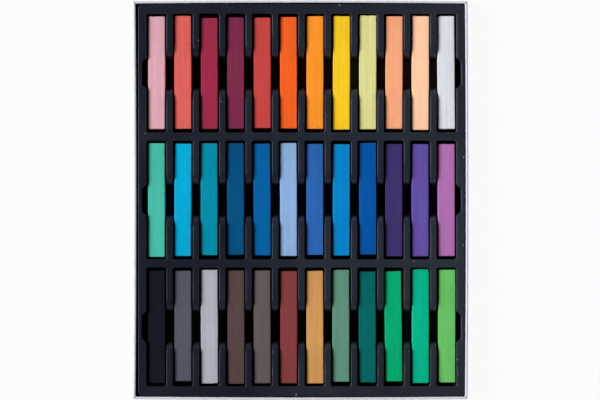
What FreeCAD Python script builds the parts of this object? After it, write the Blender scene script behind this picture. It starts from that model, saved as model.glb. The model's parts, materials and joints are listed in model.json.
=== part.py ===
import FreeCAD, Part
import math
import os

from FreeCAD import Vector

# Drawer of soft pastels: a folded carton tray, a black formed insert, and 36 square sticks in its wells.
# Lengths are in millimetres and angles in degrees. X runs across the columns, Y along the sticks, Z up.
# The origin lies under the middle of the carton, on the surface that it stands on.

# Pastel sticks
stick_side = 9.5
stick_length = 62.8
length_spread = 1.2
stick_edge_radius = 0.4
columns = 12

# Insert, formed from one thin sheet
sheet = 0.6
stick_recess = 2.0
side_play = 0.8
end_play = 1.925
column_rib = 3.7
row_rib = 4.6
well_corner_radius = 1.25
lip_chamfer = 0.55
side_border = 4.75
end_border = 5.525
insert_corner_radius = 2.8
columns_per_cell = 2
row_names = ["upper", "middle", "lower"]

# Finger channel across the middle of each row, and the pocket at each of its ends
channel_floor_width = 15.3
ramp_angle = 82.0
shoulder_radius = 6.5
pocket_reach = 2.6
pocket_width = 17.4
pocket_end_width = 12.9
pocket_corner_radius = 1.1

# Carton, folded from board, with its walls turned over into two plies
board = 0.7
rim_rise = 0.5
left_gap = 1.4
right_gap = 0.12
upper_gap = 0.12
lower_gap = 0.2
wall_bow = 0.5
carton_corner_radius = 1.1
rim_fold_radius = 0.6
base_fold_radius = 0.5
corner_seam_width = 0.3
corner_seam_depth = 1.1

# How far every cutting body runs past what it cuts
overrun = 1.0

# Each stick's name, and how it lies in its well: how far its upper end and its lower end lie to the
# right, as shares of side_play, how far it lies towards the top, as a share of end_play, and how much
# longer than stick_length it was cut, as a share of length_spread
stick_rows = [
    [
        ("stick_pale_pink", 0.05, 0.05, 0.15, 0.5),
        ("stick_salmon_pink", -0.1, 0.05, 0.25, 0.6),
        ("stick_carmine", 0.05, 0.2, -0.05, -0.35),
        ("stick_plum", 0.05, 0.15, 0.05, -0.1),
        ("stick_brick_red", 0.2, 0.35, 0.1, -0.5),
        ("stick_orange", 0.1, 0.35, 0.15, -0.1),
        ("stick_amber", 0.35, 0.3, 0.2, 0.5),
        ("stick_yellow", 0.55, 0.35, 0.1, 0.85),
        ("stick_pale_lime", 0.6, 0.3, 0.25, 1.0),
        ("stick_apricot", 0.55, 0.3, 0.2, 0.4),
        ("stick_peach", 0.55, 0.25, 0.05, 1.0),
        ("stick_white", -0.3, 0.3, 0.2, 0.6),
    ],
    [
        ("stick_mint_green", -0.05, 0.0, 0.0, 1.0),
        ("stick_cyan", 0.2, -0.2, 0.05, 0.35),
        ("stick_teal", -0.05, 0.0, 0.25, 0.15),
        ("stick_prussian_blue", -0.05, 0.1, 0.3, 0.05),
        ("stick_azure_blue", -0.15, 0.35, 0.15, 0.1),
        ("stick_sky_blue", 0.05, 0.35, 0.15, 0.65),
        ("stick_cobalt_blue", 0.15, 0.25, 0.2, -0.3),
        ("stick_cerulean_blue", 0.45, 0.25, 0.05, -0.1),
        ("stick_royal_blue", 0.35, 0.5, 0.4, 0.05),
        ("stick_dark_violet", 0.25, 0.3, -0.05, 0.35),
        ("stick_violet", 0.15, 0.25, -0.05, 0.35),
        ("stick_orchid", 0.0, 0.2, 0.0, 0.2),
    ],
    [
        ("stick_black", 0.1, 0.25, 0.0, 0.35),
        ("stick_slate_grey", -0.05, 0.1, 0.25, -0.7),
        ("stick_silver_grey", 0.0, 0.3, 0.05, 0.95),
        ("stick_umber", 0.25, 0.35, -0.1, 0.8),
        ("stick_taupe", 0.1, 0.3, 0.0, 0.6),
        ("stick_red_oxide", 0.5, 0.3, -0.1, 0.2),
        ("stick_ochre", 0.1, 0.4, -0.1, 0.4),
        ("stick_sage_green", -0.1, 0.05, 0.3, 0.1),
        ("stick_pine_green", -0.05, 0.25, -0.05, -0.35),
        ("stick_green", -0.6, 0.35, 0.15, -0.75),
        ("stick_emerald_green", 0.45, 0.45, 0.2, 1.0),
        ("stick_leaf_green", 0.55, 0.45, 0.2, 0.55),
    ],
]

# Derived sizes of the insert, in its own frame: middle at x = y = 0, underside at z = 0
rows = len(stick_rows)
well_floor = sheet
insert_height = sheet + stick_side + stick_recess
well_width = stick_side + 2 * side_play
well_length = stick_length + 2 * end_play
column_pitch = well_width + column_rib
row_pitch = well_length + row_rib
insert_width = (columns - 1) * column_pitch + well_width + 2 * side_border
insert_length = (rows - 1) * row_pitch + well_length + 2 * end_border
column_x = [(i - (columns - 1) / 2) * column_pitch for i in range(columns)]
row_y = [((rows - 1) / 2 - j) * row_pitch for j in range(rows)]

# Derived sizes of the carton
wall = 2 * board
carton_width = left_gap + insert_width + right_gap + 2 * wall
carton_length = upper_gap + insert_length + lower_gap + 2 * wall
carton_height = board + insert_height + rim_rise
insert_x = -wall_bow / 2 + (left_gap - right_gap) / 2
insert_y = (lower_gap - upper_gap) / 2
insert_z = board


def rounded_outline(corners, z):
    """Closed wire through the corners (x, y, radius), with an arc of that radius at each."""
    count = len(corners)
    starts = []
    middles = []
    ends = []
    for i in range(count):
        corner = Vector(corners[i][0], corners[i][1], z)
        radius = corners[i][2]
        back = Vector(corners[i - 1][0], corners[i - 1][1], z) - corner
        on = Vector(corners[(i + 1) % count][0], corners[(i + 1) % count][1], z) - corner
        back.normalize()
        on.normalize()
        half_angle = back.getAngle(on) / 2
        inward = back + on
        inward.normalize()
        starts.append(corner + back * (radius / math.tan(half_angle)))
        ends.append(corner + on * (radius / math.tan(half_angle)))
        middles.append(corner + inward * (radius / math.sin(half_angle) - radius))
    edges = []
    for i in range(count):
        edges.append(Part.Arc(starts[i], middles[i], ends[i]).toShape())
        edges.append(Part.LineSegment(ends[i], starts[(i + 1) % count]).toShape())
    return Part.Wire(edges)


def rectangle_corners(width, length, radius):
    """Corners of a rounded rectangle about the origin, in order round it."""
    x = width / 2
    y = length / 2
    return [(-x, -y, radius), (x, -y, radius), (x, y, radius), (-x, y, radius)]


def well_outline(side, grow, z):
    """A well seen from above, moved outwards by grow. On the side of an end pocket it steps out into it."""
    x = well_width / 2 + grow
    y = well_length / 2 + grow
    radius = well_corner_radius + grow
    if not side:
        return rounded_outline(rectangle_corners(2 * x, 2 * y, radius), z)
    reach = x + pocket_reach
    slope = (pocket_width - pocket_end_width) / 2 / pocket_reach
    end_half = pocket_end_width / 2 + grow * (math.hypot(1, slope) - slope)
    mouth_half = end_half + slope * pocket_reach
    corners = [
        (x, -y, radius),
        (x, -mouth_half, pocket_corner_radius),
        (reach, -end_half, pocket_corner_radius),
        (reach, end_half, pocket_corner_radius),
        (x, mouth_half, pocket_corner_radius),
        (x, y, radius),
        (-x, y, radius),
        (-x, -y, radius),
    ]
    return rounded_outline([(side * across, along, turn) for across, along, turn in corners], z)


def pocket_side(column):
    """-1 or 1 for the columns whose well opens into an end pocket, and 0 for the others."""
    if column == 0:
        return -1
    if column == columns - 1:
        return 1
    return 0


def well_void(side):
    """The space of one well with its lip: what a well cut and chamfered in a plain block takes away."""
    width = 2 * (column_pitch + pocket_reach)
    block = Part.makeBox(width, row_pitch, insert_height, Vector(-width / 2, -row_pitch / 2, 0))
    sharp = Part.Face(well_outline(side, 0, well_floor)).extrude(Vector(0, 0, insert_height))
    cell = block.cut(sharp).Solids[0]
    lip = []
    for edge in cell.Edges:
        middle = edge.CenterOfMass
        inside = abs(middle.x) < column_pitch and abs(middle.y) < well_length / 2 + sheet
        if inside and edge.BoundBox.ZMin > insert_height - sheet:
            lip.append(edge)
    return block.cut(cell.makeChamfer(lip_chamfer, lip))


def well_shell(side):
    """A well grown by the sheet's thickness, and run on below: where the hollow underside stops."""
    return Part.Face(well_outline(side, sheet, -overrun)).extrude(Vector(0, 0, overrun + insert_height))


def rib_profile(grow):
    """How a rib falls away at the channel, as (y, z): foot of the ramp, start, middle and end of the shoulder.

    grow takes the profile that far inside the rib, for the sheet's underside.
    """
    angle = math.radians(ramp_angle)
    run = channel_floor_width / 2 + (insert_height - well_floor) / math.tan(angle)
    centre_y = run + shoulder_radius * math.tan(angle / 2)
    centre_z = insert_height - shoulder_radius
    radius = shoulder_radius - grow

    def on_shoulder(turn):
        return (centre_y - radius * math.sin(turn), centre_z + radius * math.cos(turn))

    start = on_shoulder(angle)
    low = well_floor - grow
    foot = (start[0] - (start[1] - low) / math.tan(angle), low)
    return foot, start, on_shoulder(angle / 2), on_shoulder(0)


def channel_void(grow, x_low, x_high):
    """The channel between the ribs' ramps, as a bar along X that runs past the insert's top face."""
    foot, start, middle, end = rib_profile(grow)
    top = insert_height + overrun

    def at(sign, point):
        return Vector(x_low, sign * point[0], point[1])

    edges = [Part.LineSegment(at(-1, foot), at(1, foot)).toShape()]
    edges.append(Part.LineSegment(at(1, foot), at(1, start)).toShape())
    edges.append(Part.Arc(at(1, start), at(1, middle), at(1, end)).toShape())
    edges.append(Part.LineSegment(at(1, end), at(1, (end[0], top))).toShape())
    edges.append(Part.LineSegment(at(1, (end[0], top)), at(-1, (end[0], top))).toShape())
    edges.append(Part.LineSegment(at(-1, (end[0], top)), at(-1, end)).toShape())
    edges.append(Part.Arc(at(-1, end), at(-1, middle), at(-1, start)).toShape())
    edges.append(Part.LineSegment(at(-1, start), at(-1, foot)).toShape())
    return Part.Face(Part.Wire(edges)).extrude(Vector(x_high - x_low, 0, 0))


def rib_end():
    """The end of a rib on the +Y side of the channel: shoulder and ramp, with both long edges broken."""
    reach = rib_profile(0)[3][0]
    bar = Part.makeBox(column_rib, reach, insert_height - well_floor, Vector(-column_rib / 2, 0, well_floor))
    rib = bar.cut(channel_void(0, -column_pitch / 2, column_pitch / 2)).Solids[0]
    # the edges that slope along Y, on the shoulder and on the ramp, are the ones that the hand meets
    long_edges = []
    for edge in rib.Edges:
        first = edge.firstVertex().Point
        last = edge.lastVertex().Point
        along = abs(first.y - last.y)
        if along > abs(first.x - last.x) and abs(first.z - last.z) > sheet:
            long_edges.append(edge)
    return rib.makeChamfer(lip_chamfer, long_edges).Solids[0]


def hollow_underside():
    """The space under the sheet: everywhere inside the skirt that no well or channel takes."""
    inner = rectangle_corners(
        insert_width - 2 * sheet,
        insert_length - 2 * sheet,
        insert_corner_radius - sheet,
    )
    space = Part.Face(rounded_outline(inner, -overrun)).extrude(Vector(0, 0, overrun + insert_height - sheet))
    shells = []
    foot = rib_profile(sheet)[0][0]
    span = column_x[-1] - column_x[0]
    for y in row_y:
        for column, x in enumerate(column_x):
            shell = well_shell(pocket_side(column))
            shell.translate(Vector(x, y, 0))
            shells.append(shell)
        below = Part.makeBox(span, 2 * foot, overrun, Vector(column_x[0], -foot, -overrun))
        channel = channel_void(sheet, column_x[0], column_x[-1]).fuse(below)
        channel.translate(Vector(0, y, 0))
        shells.append(channel)
    return space.cut(shells)


def make_insert():
    """The insert in its own frame: wells with soft lips, finger channels and a hollow underside."""
    outline = rounded_outline(rectangle_corners(insert_width, insert_length, insert_corner_radius), 0)
    body = Part.Face(outline).extrude(Vector(0, 0, insert_height))
    top_edges = [edge for edge in body.Edges if edge.BoundBox.ZMin > insert_height - sheet]
    body = body.makeChamfer(lip_chamfer, top_edges)

    # between the outermost columns the channel opens each rib, and two shaped rib ends go back in
    reach = rib_profile(0)[3][0]
    span = column_x[-1] - column_x[0]
    depth = insert_height - well_floor + overrun
    voids = {side: well_void(side) for side in (-1, 0, 1)}
    one_end = rib_end()
    wells = []
    slots = []
    ends = []
    for y in row_y:
        for column, x in enumerate(column_x):
            void = voids[pocket_side(column)].copy()
            void.translate(Vector(x, y, 0))
            wells.append(void)
        slots.append(Part.makeBox(span, 2 * reach, depth, Vector(column_x[0], y - reach, well_floor)))
        for x in column_x[1:]:
            for turn in (0, 180):
                end = one_end.copy()
                end.rotate(Vector(0, 0, 0), Vector(0, 0, 1), turn)
                end.translate(Vector(x - column_pitch / 2, y, 0))
                ends.append(end)
    body = body.cut(Part.Compound(wells)).cut(Part.Compound(slots))
    body = body.fuse(ends).removeSplitter()
    return body.cut(hollow_underside()).Solids[0]


def insert_cells(insert):
    """The insert as cells of columns_per_cell wells, which meet halfway through the ribs between them."""
    across = [-insert_width / 2 - overrun]
    for x in column_x[columns_per_cell::columns_per_cell]:
        across.append(x - column_pitch / 2)
    across.append(insert_width / 2 + overrun)
    along = [insert_length / 2 + overrun]
    for y in row_y[1:]:
        along.append(y + row_pitch / 2)
    along.append(-insert_length / 2 - overrun)
    height = insert_height + 2 * overrun
    cells = []
    for row, row_name in enumerate(row_names):
        for place in range(len(across) - 1):
            width = across[place + 1] - across[place]
            length = along[row] - along[row + 1]
            block = Part.makeBox(width, length, height, Vector(across[place], along[row + 1], -overrun))
            cells.append(("insert_" + row_name + "_" + str(place + 1), insert.common(block).Solids[0]))
    return cells


def carton_face(inset, radius, z):
    """The carton's outline, drawn in by inset, as a face with round corners.

    Both long walls lean to the right at mid-length, and the two ends bulge.
    """
    x = carton_width / 2 - inset - radius
    y = carton_length / 2 - inset - radius
    shift = -wall_bow / 2
    left = shift - x
    right = shift + x
    corners = [Vector(left, -y, z), Vector(right, -y, z), Vector(right, y, z), Vector(left, y, z)]
    middles = [
        Vector(shift, -y - wall_bow, z),
        Vector(right + wall_bow, 0, z),
        Vector(shift, y + wall_bow, z),
        Vector(left + wall_bow, 0, z),
    ]
    edges = []
    for i in range(len(corners)):
        edges.append(Part.Arc(corners[i], middles[i], corners[(i + 1) % len(corners)]).toShape())
    return Part.Face(Part.Wire(edges).makeOffset2D(radius))


def make_carton():
    """The carton: base, four walls with rolled rims, and a mitre seam in the rim at each corner."""
    outer = carton_face(0, carton_corner_radius, 0).extrude(Vector(0, 0, carton_height))
    inner_radius = carton_corner_radius / 2
    inner = carton_face(wall, inner_radius, board).extrude(Vector(0, 0, carton_height))
    body = outer.cut(inner)
    rim = [edge for edge in body.Edges if edge.BoundBox.ZMin > carton_height - board / 2]
    body = body.makeFillet(rim_fold_radius, rim)
    base = [edge for edge in body.Edges if edge.BoundBox.ZMax < board / 2]
    body = body.makeFillet(base_fold_radius, base)
    seam_length = 4 * wall
    for sign_x in (-1, 1):
        for sign_y in (-1, 1):
            seam = Part.makeBox(
                seam_length,
                corner_seam_width,
                corner_seam_depth + overrun,
                Vector(-seam_length / 2, -corner_seam_width / 2, carton_height - corner_seam_depth),
            )
            seam.rotate(Vector(0, 0, 0), Vector(0, 0, 1), sign_x * sign_y * 45)
            corner_x = sign_x * (carton_width - wall) / 2 - wall_bow / 2
            seam.translate(Vector(corner_x, sign_y * (carton_length - wall) / 2, 0))
            body = body.cut(seam)
    return body.Solids[0]


def carton_pieces(carton):
    """The carton as its base and four walls. The walls stand on the base and part at the mitred corners."""
    reach = 2 * wall
    corner_x = (carton_width - wall) / 2
    corner_y = (carton_length - wall) / 2
    shift = -wall_bow / 2
    below = Part.makeBox(
        2 * (corner_x + reach),
        2 * (corner_y + reach),
        board + overrun,
        Vector(shift - corner_x - reach, -corner_y - reach, -overrun),
    )
    pieces = [("carton_base", carton.common(below).Solids[0])]
    for name, is_long, sign in (("left", True, -1), ("right", True, 1), ("upper", False, 1), ("lower", False, -1)):
        outline = []
        for out, end in ((-1, -1), (1, -1), (1, 1), (-1, 1), (-1, -1)):
            x = (sign if is_long else end) * (corner_x + out * reach)
            y = (end if is_long else sign) * (corner_y + out * reach)
            outline.append(Vector(shift + x, y, board))
        stretch = Part.Face(Part.makePolygon(outline)).extrude(Vector(0, 0, carton_height))
        pieces.append(("carton_wall_" + name, carton.common(stretch).Solids[0]))
    return pieces


def make_stick(length):
    """One stick about its own middle, with its edges worn round and its underside at z = 0."""
    half = Vector(-stick_side / 2, -length / 2, 0)
    stick = Part.makeBox(stick_side, length, stick_side, half)
    return stick.makeFillet(stick_edge_radius, stick.Edges)


def lay_stick(x, y, upper_share, lower_share, along_share, length_share):
    """A stick that lies in its well as its shares say, on the well's floor."""
    placed = make_stick(stick_length + length_share * length_spread)
    lean = math.atan2((upper_share - lower_share) * side_play, stick_length)
    placed.rotate(Vector(0, 0, 0), Vector(0, 0, 1), -math.degrees(lean))
    across = (upper_share + lower_share) / 2 * side_play
    along = along_share * end_play
    placed.translate(Vector(insert_x + x + across, insert_y + y + along, insert_z + well_floor))
    return placed


def save(name, shape):
    shape.exportStep(os.path.join("parts", name + ".step"))
    print(name, round(shape.Volume, 1), len(shape.Faces), shape.isValid())


os.makedirs("parts", exist_ok=True)
for name, piece in carton_pieces(make_carton()):
    save(name, piece)
for name, cell in insert_cells(make_insert()):
    cell.translate(Vector(insert_x, insert_y, insert_z))
    save(name, cell)
for y, sticks in zip(row_y, stick_rows):
    for x, (name, *shares) in zip(column_x, sticks):
        save(name, lay_stick(x, y, *shares))
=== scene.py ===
import json
import math

import bmesh
import bpy
from mathutils import Matrix, Vector


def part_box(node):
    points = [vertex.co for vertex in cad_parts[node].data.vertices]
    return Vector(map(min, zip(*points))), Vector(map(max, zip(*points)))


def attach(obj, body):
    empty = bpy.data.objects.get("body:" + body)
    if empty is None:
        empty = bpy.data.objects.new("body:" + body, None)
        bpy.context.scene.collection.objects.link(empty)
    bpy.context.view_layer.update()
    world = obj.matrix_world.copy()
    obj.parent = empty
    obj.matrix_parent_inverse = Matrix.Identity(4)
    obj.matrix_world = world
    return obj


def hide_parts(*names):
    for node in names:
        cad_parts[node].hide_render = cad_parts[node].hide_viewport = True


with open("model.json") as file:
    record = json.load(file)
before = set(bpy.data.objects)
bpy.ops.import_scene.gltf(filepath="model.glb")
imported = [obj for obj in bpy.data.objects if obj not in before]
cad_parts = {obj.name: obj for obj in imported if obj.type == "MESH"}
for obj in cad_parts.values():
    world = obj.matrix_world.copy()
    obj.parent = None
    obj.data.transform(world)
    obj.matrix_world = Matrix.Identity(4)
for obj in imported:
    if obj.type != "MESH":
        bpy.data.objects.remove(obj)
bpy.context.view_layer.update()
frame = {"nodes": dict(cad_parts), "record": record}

bl_info = {
    "name": "Pastel drawer box",
    "version": (1, 0, 0),
    "blender": (4, 5, 0),
    "location": "3D View > Sidebar > Pastels",
    "description": "Dresses a drawer of square soft pastels round its packed model",
    "category": "Add Mesh",
}

MM = 0.001

# The three rows of sticks from the top of the drawer, left to right, each with its shade as sRGB hex
SHADES = {
    "pale_pink": "E0ACB8",
    "salmon_pink": "E0665F",
    "carmine": "A02C4B",
    "plum": "7D2D4B",
    "brick_red": "C84846",
    "orange": "F46422",
    "amber": "FA992B",
    "yellow": "F6CC26",
    "pale_lime": "E0DC96",
    "apricot": "F6AB80",
    "peach": "FECDA8",
    "white": "DADDE4",
    "mint_green": "4AC0AA",
    "cyan": "02AEDA",
    "teal": "0290AD",
    "prussian_blue": "035181",
    "azure_blue": "0362A3",
    "sky_blue": "8FB2DE",
    "cobalt_blue": "2D67B2",
    "cerulean_blue": "0386CB",
    "royal_blue": "0355A6",
    "dark_violet": "42326C",
    "violet": "6450A3",
    "orchid": "AF70AF",
    "black": "161A25",
    "slate_grey": "575A66",
    "silver_grey": "B1B4BE",
    "umber": "594646",
    "taupe": "635958",
    "red_oxide": "863D40",
    "ochre": "CF995C",
    "sage_green": "60917B",
    "pine_green": "036662",
    "green": "03AA71",
    "emerald_green": "03B28B",
    "leaf_green": "69BF65",
}

# Crumbs on the insert: shade, place on X and Y in mm, and the turn in radians that sets each one's form
CRUMBS = (
    ("emerald_green", 60.75, -84.8, 0.4),
    ("leaf_green", 88.15, -97.7, 1.7),
)


def linear(shade):
    """An sRGB hex shade as the linear colour that a shader takes."""
    channels = [int(shade[i:i + 2], 16) / 255 for i in (0, 2, 4)]
    return [c / 12.92 if c <= 0.04045 else ((c + 0.055) / 1.055) ** 2.4 for c in channels] + [1.0]


def length_property(name, description, default):
    return bpy.props.FloatProperty(
        name=name,
        description=description,
        default=default,
        min=0,
        precision=5,
        subtype="DISTANCE",
        unit="LENGTH",
    )


def share_property(name, description, default):
    return bpy.props.FloatProperty(
        name=name, description=description, default=default, min=0, max=1, subtype="FACTOR"
    )


def glow_property(name, description, default):
    return bpy.props.FloatProperty(name=name, description=description, default=default, min=0)


def angle_property(name, description, degrees):
    return bpy.props.FloatProperty(
        name=name, description=description, default=math.radians(degrees), subtype="ANGLE", unit="ROTATION"
    )


def colour_property(name, description, shade):
    return bpy.props.FloatVectorProperty(
        name=name, description=description, default=linear(shade), size=4, min=0, max=1, subtype="COLOR"
    )


class StickSettings(bpy.types.PropertyGroup):
    """How the sticks were cut and how they have worn."""

    arris: length_property("Arris", "Radius that the long edges have worn to", 0.4 * MM)
    chip_depth: length_property("Chip depth", "How deep the crumbled places on the edges are", 0.5 * MM)
    chip_length: length_property("Chip length", "How long a crumbled place on an edge is", 2.2 * MM)
    end_unevenness: length_property("End unevenness", "How far the cut ends are from flat", 0.15 * MM)
    drag_width: length_property("Drag line width", "Width of the lines that the die leaves", 1.3 * MM)
    grain: length_property("Grain", "Size of the powdery grain", 0.7 * MM)
    crumb: length_property("Crumb", "Size of a loose crumb", 0.55 * MM)


class ShadeSettings(bpy.types.PropertyGroup):
    """The shade of each stick."""


for shade_name, shade_hex in SHADES.items():
    plain_name = shade_name.replace("_", " ")
    ShadeSettings.__annotations__[shade_name] = colour_property(
        plain_name.capitalize(), f"Shade of the {plain_name} stick", shade_hex
    )


class InsertSettings(bpy.types.PropertyGroup):
    """The formed insert's sheet."""

    colour: colour_property("Plastic", "Colour of the plastic sheet", "151A26")
    dust_colour: colour_property("Dust", "Colour of the dust specks", "98A0AC")
    # a pale tint over the plastic, heavier to the right; at its thickest it takes this share
    pale_tint: share_property("Dust film", "Share of the plastic that the dust hides at its thickest", 0.045)
    speck_spacing: length_property("Speck spacing", "Mean distance between dust specks", 7 * MM)
    speck_size: length_property("Speck size", "Size of a dust speck", 0.5 * MM)


class CartonSettings(bpy.types.PropertyGroup):
    """The carton's board."""

    colour: colour_property("Board", "Colour of the coated board", "C9CCD5")
    reverse_colour: colour_property("Reverse", "Colour of the board's uncoated side", "8C8881")
    fibre: length_property("Fibre", "Size of the cloudy fibre pattern in the board", 3 * MM)


class StageSettings(bpy.types.PropertyGroup):
    """Camera, floor and light."""

    camera_height: length_property("Camera height", "Height of the camera above the floor", 1.4)
    key_share: share_property("Softbox", "Share of full light that the softbox gives a level surface", 0.88)
    key_spread: angle_property("Softbox spread", "Angle that the softbox fills, seen from the table", 24)
    key_azimuth: angle_property("Softbox azimuth", "Where the softbox stands, from +X towards +Y", 169)
    key_elevation: angle_property("Softbox elevation", "How high the softbox stands over the table", 38)
    fill_glow: glow_property("Walls", "Brightness of the studio's walls above the table's edge", 0.25)
    reflector_glow: glow_property("Reflector", "Brightness of the low reflector opposite the softbox", 3.0)
    lamp_side_glow: glow_property("Lamp side", "Brightness of the same low band on the softbox's side", 0.2)
    ceiling_glow: glow_property("Ceiling", "Brightness of the ceiling, as a share of the walls'", 0.03)
    floor_grey: share_property("Floor bounce", "Share of the light that the floor throws back up", 0.5)
    floor_white: share_property("Floor white", "Share of the floor's white that shadows don't darken", 0.94)


def add_node(tree, kind, inputs=(), **settings):
    """Adds a node, sets its properties, and gives each named or numbered input a value or a link."""
    node = tree.nodes.new(kind)
    for key, value in settings.items():
        setattr(node, key, value)
    for socket, value in dict(inputs).items():
        if isinstance(value, bpy.types.NodeSocket):
            tree.links.new(value, node.inputs[socket])
        else:
            node.inputs[socket].default_value = value
    return node


def new_material(name, **constants):
    """A material with these constants on its Principled shader.

    Returns the material, its tree, its shader, and the coordinates that its textures lie in.
    """
    material = bpy.data.materials.new(name)
    material.use_nodes = True
    tree = material.node_tree
    shader = tree.nodes["Principled BSDF"]
    for key, value in constants.items():
        shader.inputs[key.replace("_", " ")].default_value = value
    place = add_node(tree, "ShaderNodeTexCoord").outputs["Object"]
    return material, tree, shader, place


def cloudy(tree, place, across, along=None, detail=2.0):
    """A cloudy pattern from 0 to 1, whose clouds are across wide, and along long in Y."""
    size = (1 / across, 1 / (along or across), 1 / across)
    mapping = add_node(tree, "ShaderNodeMapping", {"Vector": place, "Scale": size})
    inputs = {"Vector": mapping.outputs[0], "Scale": 1.0, "Detail": detail}
    return add_node(tree, "ShaderNodeTexNoise", inputs).outputs[0]


def between(tree, value, low, high, to_low=0.0, to_high=1.0):
    """The value's range from low to high, spread over to_low to to_high."""
    inputs = {0: value, 1: low, 2: high, 3: to_low, 4: to_high}
    return add_node(tree, "ShaderNodeMapRange", inputs).outputs[0]


def spread(tree, clouds, least, most):
    """A cloudy pattern spread over least to most, since nearly all of its values lie from 0.3 to 0.7."""
    return between(tree, clouds, 0.3, 0.7, least, most)


def maths(tree, operation, first, second):
    return add_node(tree, "ShaderNodeMath", {0: first, 1: second}, operation=operation).outputs[0]


def mix_colours(tree, share, first, second):
    """The first colour, with that share of it given over to the second."""
    inputs = {0: share, 6: first, 7: second}
    return add_node(tree, "ShaderNodeMix", inputs, data_type="RGBA").outputs[2]


def change_colour(tree, colour, **changes):
    """The colour with its Value, or its Saturation too, multiplied."""
    return add_node(tree, "ShaderNodeHueSaturation", {"Color": colour, **changes}).outputs[0]


def axes_of(tree, vector):
    return add_node(tree, "ShaderNodeSeparateXYZ", {0: vector}).outputs


def facing_up(tree, least, most):
    """0 where the surface's normal has a Z of least or under, rising to 1 where it has most."""
    normal = add_node(tree, "ShaderNodeNewGeometry").outputs["Normal"]
    return between(tree, axes_of(tree, normal)["Z"], least, most)


def cover(tree, shader, colour, height, depth, strength):
    """Gives the shader its colour, and bumps of this depth where the height goes from 0 to 1."""
    tree.links.new(colour, shader.inputs["Base Color"])
    bump = add_node(tree, "ShaderNodeBump", {"Height": height, "Distance": depth, "Strength": strength})
    tree.links.new(bump.outputs[0], shader.inputs["Normal"])


def pressed_pastel(name, colour, settings):
    """Pigment and chalk pressed into a stick: dead matte and powdery, with lines drawn along it by the die.

    The faces look flat and even from a step away. The arrises carry painted shade, a little darker, so that
    they don't shine out where they face the light.
    """
    material, tree, shader, place = new_material(
        name, Roughness=0.9, IOR=1.5, Specular_IOR_Level=0.06, Diffuse_Roughness=0.3
    )
    drag = cloudy(tree, place, settings.drag_width, along=60 * MM, detail=3.0)
    clouds = cloudy(tree, place, 7 * MM, along=14 * MM)
    # the real grain is near 0.1 mm, too fine to show, so it is drawn as coarse as the setting says
    grain = cloudy(tree, place, settings.grain, detail=4.0)
    lines = spread(tree, drag, 0.93, 1.07)
    patches = spread(tree, clouds, 0.96, 1.04)
    powder = spread(tree, grain, 0.96, 1.04)
    value = maths(tree, "MULTIPLY", maths(tree, "MULTIPLY", lines, patches), powder)
    face = change_colour(tree, colour, Value=value)
    # painted shade: a darker copy of the face colour for the arrises, so that the light doesn't make them
    # shine
    arris_painted_shade = change_colour(tree, face, Value=0.87, Saturation=0.97)
    # the attribute is 1 along the arrises, and the clouds make the painted shade on them uneven
    arrises = add_node(tree, "ShaderNodeAttribute", attribute_name="arris_shade").outputs["Fac"]
    arris_shade_share = maths(tree, "MULTIPLY", arrises, between(tree, clouds, 0.35, 0.6, 0.35, 1.0))
    height = maths(tree, "ADD", grain, drag)
    cover(tree, shader, mix_colours(tree, arris_shade_share, face, arris_painted_shade), height, depth=0.06 * MM, strength=0.5)
    return material


def formed_polystyrene(name, settings):
    """Black polystyrene sheet, vacuum formed: satin and faintly uneven.

    A pale tint lies over it, heavier to the right and in large patches, and pale dust lies on it as a few
    specks.
    """
    material, tree, shader, place = new_material(name, IOR=1.59, Specular_IOR_Level=0.2)
    # the sheet's skin stays faintly pebbled where the vacuum pulled it on to the mould
    pebble = cloudy(tree, place, 1.6 * MM)
    smears = cloudy(tree, place, 14 * MM, detail=4.0)
    tree.links.new(spread(tree, smears, 0.28, 0.4), shader.inputs["Roughness"])
    # a speck lies in the middle of a Voronoi cell, on faces that look up, where the smears are thickest
    cells = add_node(tree, "ShaderNodeTexVoronoi", {"Vector": place, "Scale": 1 / settings.speck_spacing})
    size = settings.speck_size / 2 / settings.speck_spacing
    speck = between(tree, cells.outputs["Distance"], size, 2 * size, 1.0, 0.0)
    lying = maths(tree, "MULTIPLY", speck, facing_up(tree, 0.5, 0.9))
    dust = maths(tree, "MULTIPLY", lying, between(tree, smears, 0.5, 0.56))
    # the pale tint grows from the left edge of the insert to its right one, in large patches
    across = between(tree, axes_of(tree, place)["X"], -100 * MM, 100 * MM)
    drift = maths(tree, "ADD", cloudy(tree, place, 60 * MM), maths(tree, "MULTIPLY", across, 0.5))
    pale_tint = between(tree, drift, 0.5, 1.15, 0.0, settings.pale_tint)
    tinted = mix_colours(tree, pale_tint, settings.colour, settings.dust_colour)
    colour = mix_colours(tree, dust, tinted, settings.dust_colour)
    cover(tree, shader, colour, pebble, depth=0.03 * MM, strength=0.35)
    return material


def coated_board(name, settings):
    """White-lined folding board: a smooth clay coat, faintly cloudy with the fibres under it.

    The carton's floor shows the board's grey reverse.
    """
    material, tree, shader, place = new_material(name, Roughness=0.6, IOR=1.5, Specular_IOR_Level=0.3)
    fibres = cloudy(tree, place, settings.fibre, detail=5.0)
    value = spread(tree, fibres, 0.965, 1.02)
    # the reverse shows on faces that look up and lie under 1 mm high, which only the carton's floor does
    low_down = between(tree, axes_of(tree, place)["Z"], 1.0 * MM, 0.8 * MM)
    inside = maths(tree, "MULTIPLY", low_down, facing_up(tree, 0.7, 0.9))
    side = mix_colours(tree, inside, settings.colour, settings.reverse_colour)
    fine = cloudy(tree, place, 0.8 * MM, detail=3.0)
    cover(tree, shader, change_colour(tree, side, Value=value), fine, depth=0.03 * MM, strength=0.4)
    return material


def only(piece):
    """Makes piece the one that is selected and active."""
    bpy.ops.object.select_all(action="DESELECT")
    piece.select_set(True)
    bpy.context.view_layer.objects.active = piece


def edit(piece):
    only(piece)
    bpy.ops.object.mode_set(mode="EDIT")


def done():
    bpy.ops.object.mode_set(mode="OBJECT")


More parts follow.
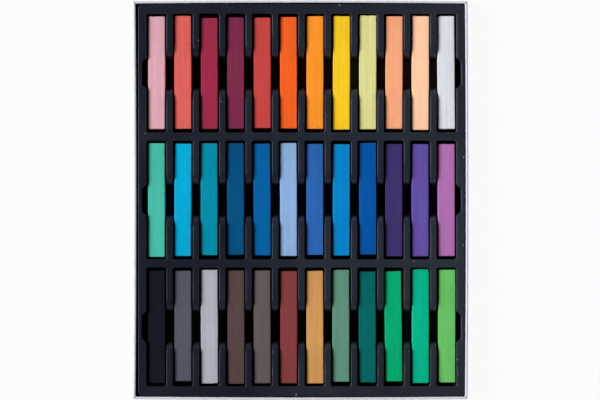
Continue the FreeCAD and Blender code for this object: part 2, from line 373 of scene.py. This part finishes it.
def pick_edges(piece, wanted):
    """In edit mode, selects the edges whose two ends wanted says yes to."""
    bpy.ops.mesh.select_mode(type="EDGE")
    bpy.ops.mesh.select_all(action="DESELECT")
    shape = bmesh.from_edit_mesh(piece.data)
    for edge in shape.edges:
        edge.select_set(wanted(edge.verts[0].co, edge.verts[1].co))
    bmesh.update_edit_mesh(piece.data)


def copy_of(piece, name):
    """A copy with its own mesh, linked to the scene."""
    twin = piece.copy()
    twin.data = piece.data.copy()
    twin.name = twin.data.name = name
    bpy.context.scene.collection.objects.link(twin)
    return twin


def dress(piece, body, slot, material, *nodes):
    """Gives the piece its one material and its body, and hides the nodes that it stands for. Its slot is not
    used.
    """
    piece.data.materials.clear()
    piece.data.materials.append(material)
    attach(piece, body)
    if nodes:
        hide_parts(*nodes)


def soften(piece, smooth_angle):
    """Smooth over edges flatter than the angle. The bend stays in narrow faces, so broad ones look flat."""
    only(piece)
    bpy.ops.object.shade_smooth_by_angle(angle=smooth_angle)
    flatten = piece.modifiers.new("flatten", "WEIGHTED_NORMAL")
    flatten.weight = 100
    flatten.keep_sharp = True
    bpy.ops.object.modifier_apply(modifier=flatten.name)


def nodes_of(body):
    return sorted(frame["record"]["behaviour"]["bodies"][body])


def skin_of(nodes, name):
    """One piece from copies of CAD nodes that meet face to face, with their loose triangles merged."""
    copies = []
    for node in nodes:
        twin = bpy.data.objects.new(name, frame["nodes"][node].data.copy())
        bpy.context.scene.collection.objects.link(twin)
        copies.append(twin)
    piece = copies[0]
    only(piece)
    for twin in copies:
        twin.select_set(True)
    bpy.ops.object.join()
    edit(piece)
    bpy.ops.mesh.select_all(action="SELECT")
    bpy.ops.mesh.remove_doubles(threshold=0.002 * MM)
    done()
    return piece


def open_joints(piece, nodes):
    """Deletes the inner faces where neighbouring nodes met, so that the piece is one hollow shell.

    Then flat stretches become single faces, over the joints too.
    """
    low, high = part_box(nodes[0])
    for node in nodes:
        node_low, node_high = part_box(node)
        low = Vector(map(min, low, node_low))
        high = Vector(map(max, high, node_high))
    # an axis and a place on it, where one node ends and the next begins
    joints = []
    nearly = 0.01 * MM
    for node in nodes:
        node_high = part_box(node)[1]
        for axis in (0, 1):
            if node_high[axis] < high[axis] - MM:
                joints.append((axis, node_high[axis]))
    edit(piece)
    bpy.ops.mesh.select_mode(type="FACE")
    bpy.ops.mesh.select_all(action="DESELECT")
    shape = bmesh.from_edit_mesh(piece.data)
    for face in shape.faces:
        for axis, place in joints:
            if all(abs(vertex.co[axis] - place) < nearly for vertex in face.verts):
                face.select_set(True)
    bmesh.update_edit_mesh(piece.data)
    bpy.ops.mesh.delete(type="FACE")
    bpy.ops.mesh.select_all(action="SELECT")
    bpy.ops.mesh.dissolve_limited(angle_limit=math.radians(0.2))
    done()


class PASTELS_OT_carton(bpy.types.Operator):
    """Folds the white carton from coated board"""

    bl_idname = "pastels.carton"
    bl_label = "Carton"

    def execute(self, context):
        material = coated_board("coated board", context.scene.pastel_carton)
        for node in nodes_of("carton"):
            piece = skin_of([node], node + "_folded")
            # the rounded rims are smoothed over, and the folds and seams stay sharp
            soften(piece, smooth_angle=math.radians(35))
            dress(piece, "carton", "carton_board", material, node)
        return {"FINISHED"}


class PASTELS_OT_insert(bpy.types.Operator):
    """Forms the black insert, with softly rounded lips round its wells"""

    bl_idname = "pastels.insert"
    bl_label = "Insert"

    def execute(self, context):
        material = formed_polystyrene("formed polystyrene", context.scene.pastel_insert)
        cells = nodes_of("insert")
        insert = skin_of(cells, "formed_insert")
        open_joints(insert, cells)
        # the lips' chamfers turn by 45 degrees at each edge, and are smoothed over
        soften(insert, smooth_angle=math.radians(48))
        dress(insert, "insert", "insert_plastic", material, *cells)
        return {"FINISHED"}


def stick_lie(node, side):
    """How a stick lies, from its CAD node: the middle of its underside, its lean from Y, and its length."""
    low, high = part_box(node)
    corners = [vertex.co for vertex in frame["nodes"][node].data.vertices]
    middles = []
    end_zone = 0.5 * MM
    for y in (low.y, high.y):
        near = [co.x for co in corners if abs(co.y - y) < end_zone]
        middles.append((min(near) + max(near)) / 2)
    lean = math.atan2(middles[0] - middles[1], high.y - low.y)
    length = (high.y - low.y - side * abs(math.sin(lean))) / math.cos(lean)
    middle = (low + high) / 2
    return Vector((middle.x, middle.y, low.z)), lean, length


def stick_blank(side, length, settings):
    """One stick about the origin, along Y, with round arrises and enough rings for its edges to crumble.

    Its attribute, which places the painted shade on the arrises, is 1 along the arrises and falls to 0 on
    the faces.
    """
    cuts_across = 5
    cuts_along = 110
    bpy.ops.mesh.primitive_cube_add(size=1)
    blank = bpy.context.active_object
    edit(blank)
    bpy.ops.mesh.select_all(action="SELECT")
    bpy.ops.transform.resize(value=(side, length, side), center_override=(0, 0, 0))
    bpy.ops.transform.translate(value=(0, 0, side / 2))
    bpy.ops.mesh.bevel(offset=settings.arris, segments=3, affect="EDGES")
    across = side / 2
    pick_edges(blank, lambda a, b: max(abs(a.x - b.x), abs(a.z - b.z)) > across)
    bpy.ops.mesh.subdivide(number_cuts=cuts_across)
    pick_edges(blank, lambda a, b: abs(a.y - b.y) > across)
    bpy.ops.mesh.subdivide(number_cuts=cuts_along)
    done()
    edges = blank.vertex_groups.new(name="arrises")
    ends = blank.vertex_groups.new(name="ends")
    # chipping and the painted arris shade are full close to an arris, and gone this far from it
    reach = 1.6 * settings.arris
    arris_shade_weights = []
    for vertex in blank.data.vertices:
        from_side = across - abs(vertex.co.x)
        from_face = across - abs(vertex.co.z - across)
        from_end = length / 2 - abs(vertex.co.y)
        nearest = sorted((from_side, from_face, from_end))
        near = max(0.0, 1 - (nearest[0] + nearest[1]) / reach)
        if near > 0:
            edges.add([vertex.index], min(1.0, 1.5 * near), "REPLACE")
        if from_end < 0.1 * settings.arris:
            ends.add([vertex.index], 1.0, "REPLACE")
        # weights for the painted shade on the arrises
        arris_shade_weights.append(min(1.0, 1.6 * near))
    # made after the groups, because they move the mesh's layers
    blank.data.attributes.new("arris_shade", "FLOAT", "POINT").data.foreach_set("value", arris_shade_weights)
    return blank


def crumble(piece, group, texture, depth, middle):
    """Pushes the group's points along their normals, by depth times how far the texture is over middle."""
    push = piece.modifiers.new(group, "DISPLACE")
    push.texture = texture
    push.texture_coords = "LOCAL"
    push.vertex_group = group
    push.strength = depth
    push.mid_level = middle
    only(piece)
    bpy.ops.object.modifier_apply(modifier=push.name)


class PASTELS_OT_sticks(bpy.types.Operator):
    """Lays a worn pastel stick in each well, as its CAD node lies"""

    bl_idname = "pastels.sticks"
    bl_label = "Sticks"

    def execute(self, context):
        settings = context.scene.pastel_sticks
        shades = context.scene.pastel_shades
        chips = bpy.data.textures.new("chips", "CLOUDS")
        chips.noise_scale = settings.chip_length
        chips.noise_depth = 1
        # only the highest tenth of the texture bites, so most of each edge stays straight
        chips.intensity = 0.0
        chips.contrast = 3.0
        chips.use_clamp = True
        # the cut ends wave over a few millimetres
        cut = bpy.data.textures.new("cut", "CLOUDS")
        cut.noise_scale = 3 * MM
        low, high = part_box("stick_black")
        side = high.z - low.z
        length = stick_lie("stick_black", side)[2]
        blank = stick_blank(side, length, settings)
        for shade in SHADES:
            node = "stick_" + shade
            place, lean, own_length = stick_lie(node, side)
            stick = copy_of(blank, "pastel_" + shade)
            stretch = Matrix.Diagonal((1, own_length / length, 1, 1))
            stick.data.transform(Matrix.Translation(place) @ Matrix.Rotation(lean, 4, "Z") @ stretch)
            crumble(stick, "arrises", chips, -settings.chip_depth, middle=0.0)
            crumble(stick, "ends", cut, -settings.end_unevenness, middle=0.0)
            # the rounded arrises turn by up to 30 degrees at an edge, and are smoothed over
            soften(stick, smooth_angle=math.radians(40))
            material = pressed_pastel("pastel " + shade, getattr(shades, shade), settings)
            dress(stick, node, "pastel_" + shade, material, node)
        bpy.data.objects.remove(blank)
        return {"FINISHED"}


class PASTELS_OT_crumbs(bpy.types.Operator):
    """Drops the few crumbs that lie on the insert's ribs"""

    bl_idname = "pastels.crumbs"
    bl_label = "Crumbs"

    def execute(self, context):
        settings = context.scene.pastel_sticks
        shades = context.scene.pastel_shades
        size = settings.crumb
        rough = bpy.data.textures.new("broken pastel", "CLOUDS")
        rough.noise_scale = size / 2
        bpy.ops.object.select_all(action="DESELECT")
        bpy.ops.mesh.primitive_ico_sphere_add(subdivisions=3, radius=size / 2)
        lump = bpy.context.active_object
        everywhere = lump.vertex_groups.new(name="broken")
        everywhere.add(range(len(lump.data.vertices)), 1.0, "REPLACE")
        insert_top = max(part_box(node)[1].z for node in nodes_of("insert"))
        for shade, x, y, turn in CRUMBS:
            crumb = copy_of(lump, "crumb_" + shade)
            squash = Matrix.Diagonal((1.2, 1, 0.7, 1)) @ Matrix.Rotation(turn, 4, "X")
            crumb.data.transform(squash)
            crumble(crumb, "broken", rough, -size / 3, middle=0.2)
            lowest = min(vertex.co.z for vertex in crumb.data.vertices)
            crumb.data.transform(Matrix.Translation((x * MM, y * MM, insert_top - lowest)))
            material = pressed_pastel("crumb of " + shade, getattr(shades, shade), settings)
            dress(crumb, "insert", "pastel_" + shade, material)
        bpy.data.objects.remove(lump)
        return {"FINISHED"}


def white_for_the_camera(tree, lit, strength):
    """A mix of lit with plain white, whose share in what the camera, mirrors and glass see is strength."""
    path = add_node(tree, "ShaderNodeLightPath").outputs
    seen = maths(tree, "MAXIMUM", path["Is Camera Ray"], path["Is Glossy Ray"])
    seen = maths(tree, "MAXIMUM", seen, path["Is Transmission Ray"])
    share = maths(tree, "MULTIPLY", seen, strength)
    white = add_node(tree, "ShaderNodeEmission", {"Color": (1, 1, 1, 1), "Strength": 1.0}).outputs[0]
    return add_node(tree, "ShaderNodeMixShader", {0: share, 1: lit, 2: white}).outputs[0]


def softbox(name, angle, azimuth, elevation, share):
    """A lamp far off that fills this angle, and lights a level surface with that share of full light."""
    lamp = bpy.data.lights.new(name, "SUN")
    lamp.angle = angle
    lamp.energy = share * math.pi / math.sin(elevation)
    holder = bpy.data.objects.new(name, lamp)
    bpy.context.scene.collection.objects.link(holder)
    level = math.cos(elevation)
    towards = Vector((math.cos(azimuth) * level, math.sin(azimuth) * level, math.sin(elevation)))
    holder.location = towards
    holder.rotation_euler = towards.to_track_quat("Z", "Y").to_euler()


class PASTELS_OT_stage(bpy.types.Operator):
    """Sets the floor, the light and the camera"""

    bl_idname = "pastels.stage"
    bl_label = "Stage"

    def execute(self, context):
        settings = context.scene.pastel_stage
        bpy.ops.object.select_all(action="DESELECT")
        # wide enough to reach the horizon, and a hair under the carton, so that the two never share a plane
        floor_radius = 12
        floor_height = -0.05 * MM
        bpy.ops.mesh.primitive_circle_add(
            vertices=96, radius=floor_radius, fill_type="NGON", location=(0, 0, floor_height)
        )
        floor = bpy.context.active_object
        floor.name = "floor"
        material = bpy.data.materials.new("white floor")
        material.use_nodes = True
        tree = material.node_tree
        tree.nodes.clear()
        # grey under its white, so that little light comes back up on to the carton's sides
        grey = [settings.floor_grey] * 3 + [1]
        paper = add_node(tree, "ShaderNodeBsdfDiffuse", {"Color": grey}).outputs[0]
        white = white_for_the_camera(tree, paper, settings.floor_white)
        add_node(tree, "ShaderNodeOutputMaterial", {"Surface": white})
        floor.data.materials.append(material)

        world = bpy.data.worlds.new("studio")
        context.scene.world = world
        world.use_nodes = True
        tree = world.node_tree
        tree.nodes.clear()
        # from where to where each part of the studio fades in, on one axis of a direction that is 1 long
        reflector_fade = (-0.6, 0.4)
        wall_fade = (0.1, 0.25)
        ceiling_fade = (0.55, 0.8)
        # a low reflector stands opposite the softbox, for the carton's shaded sides, and the ceiling is
        # dark, which keeps the wells and channels deep black
        direction = add_node(tree, "ShaderNodeTexCoord").outputs["Generated"]
        axes = axes_of(tree, direction)
        low_band = between(
            tree, axes["X"], *reflector_fade, settings.lamp_side_glow, settings.reflector_glow
        )
        walls = between(tree, axes["Z"], *wall_fade, low_band, settings.fill_glow)
        ceiling = between(tree, axes["Z"], *ceiling_fade, 1.0, settings.ceiling_glow)
        glow = maths(tree, "MULTIPLY", walls, ceiling)
        studio = add_node(tree, "ShaderNodeBackground", {"Color": (1, 1, 1, 1), "Strength": glow})
        add_node(tree, "ShaderNodeOutputWorld", {"Surface": studio.outputs[0]})

        softbox("key", settings.key_spread, settings.key_azimuth, settings.key_elevation, settings.key_share)

        # the camera looks straight down, with this many pixels to the millimetre at the sticks' top faces,
        # and the drawer's middle at this column and row of the picture
        pixels_per_mm = 1.78
        frame_width = 600
        frame_height = 400
        centre_column = 300.7
        centre_row = 200.1
        sticks_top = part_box("stick_black")[1].z
        camera = bpy.data.cameras.new("camera")
        camera.sensor_width = 36
        seen_width = frame_width / pixels_per_mm * MM
        camera.lens = camera.sensor_width * (settings.camera_height - sticks_top) / seen_width
        holder = bpy.data.objects.new("camera", camera)
        context.scene.collection.objects.link(holder)
        aside = (frame_width / 2 - centre_column) / pixels_per_mm * MM
        ahead = (centre_row - frame_height / 2) / pixels_per_mm * MM
        holder.location = (aside, ahead, settings.camera_height)
        context.scene.camera = holder
        context.scene.view_settings.view_transform = "Standard"
        return {"FINISHED"}


class PASTELS_PT_panel(bpy.types.Panel):
    """Lists the makers of the drawer's pieces"""

    bl_idname = "PASTELS_PT_panel"
    bl_label = "Pastel drawer box"
    bl_space_type = "VIEW_3D"
    bl_region_type = "UI"
    bl_category = "Pastels"

    def draw(self, context):
        for operator in OPERATORS:
            self.layout.operator(operator.bl_idname)


OPERATORS = (PASTELS_OT_stage, PASTELS_OT_carton, PASTELS_OT_insert, PASTELS_OT_sticks, PASTELS_OT_crumbs)
SETTINGS = {
    "pastel_sticks": StickSettings,
    "pastel_shades": ShadeSettings,
    "pastel_insert": InsertSettings,
    "pastel_carton": CartonSettings,
    "pastel_stage": StageSettings,
}


def register():
    for settings in SETTINGS.values():
        bpy.utils.register_class(settings)
    for name, settings in SETTINGS.items():
        setattr(bpy.types.Scene, name, bpy.props.PointerProperty(type=settings))
    for operator in OPERATORS:
        bpy.utils.register_class(operator)
    bpy.utils.register_class(PASTELS_PT_panel)


def unregister():
    bpy.utils.unregister_class(PASTELS_PT_panel)
    for operator in reversed(OPERATORS):
        bpy.utils.unregister_class(operator)
    for name, settings in reversed(SETTINGS.items()):
        delattr(bpy.types.Scene, name)
        bpy.utils.unregister_class(settings)


def main():
    register()
    bpy.ops.pastels.stage()
    bpy.ops.pastels.carton()
    bpy.ops.pastels.insert()
    bpy.ops.pastels.sticks()
    bpy.ops.pastels.crumbs()


if __name__ == "__main__":
    main()
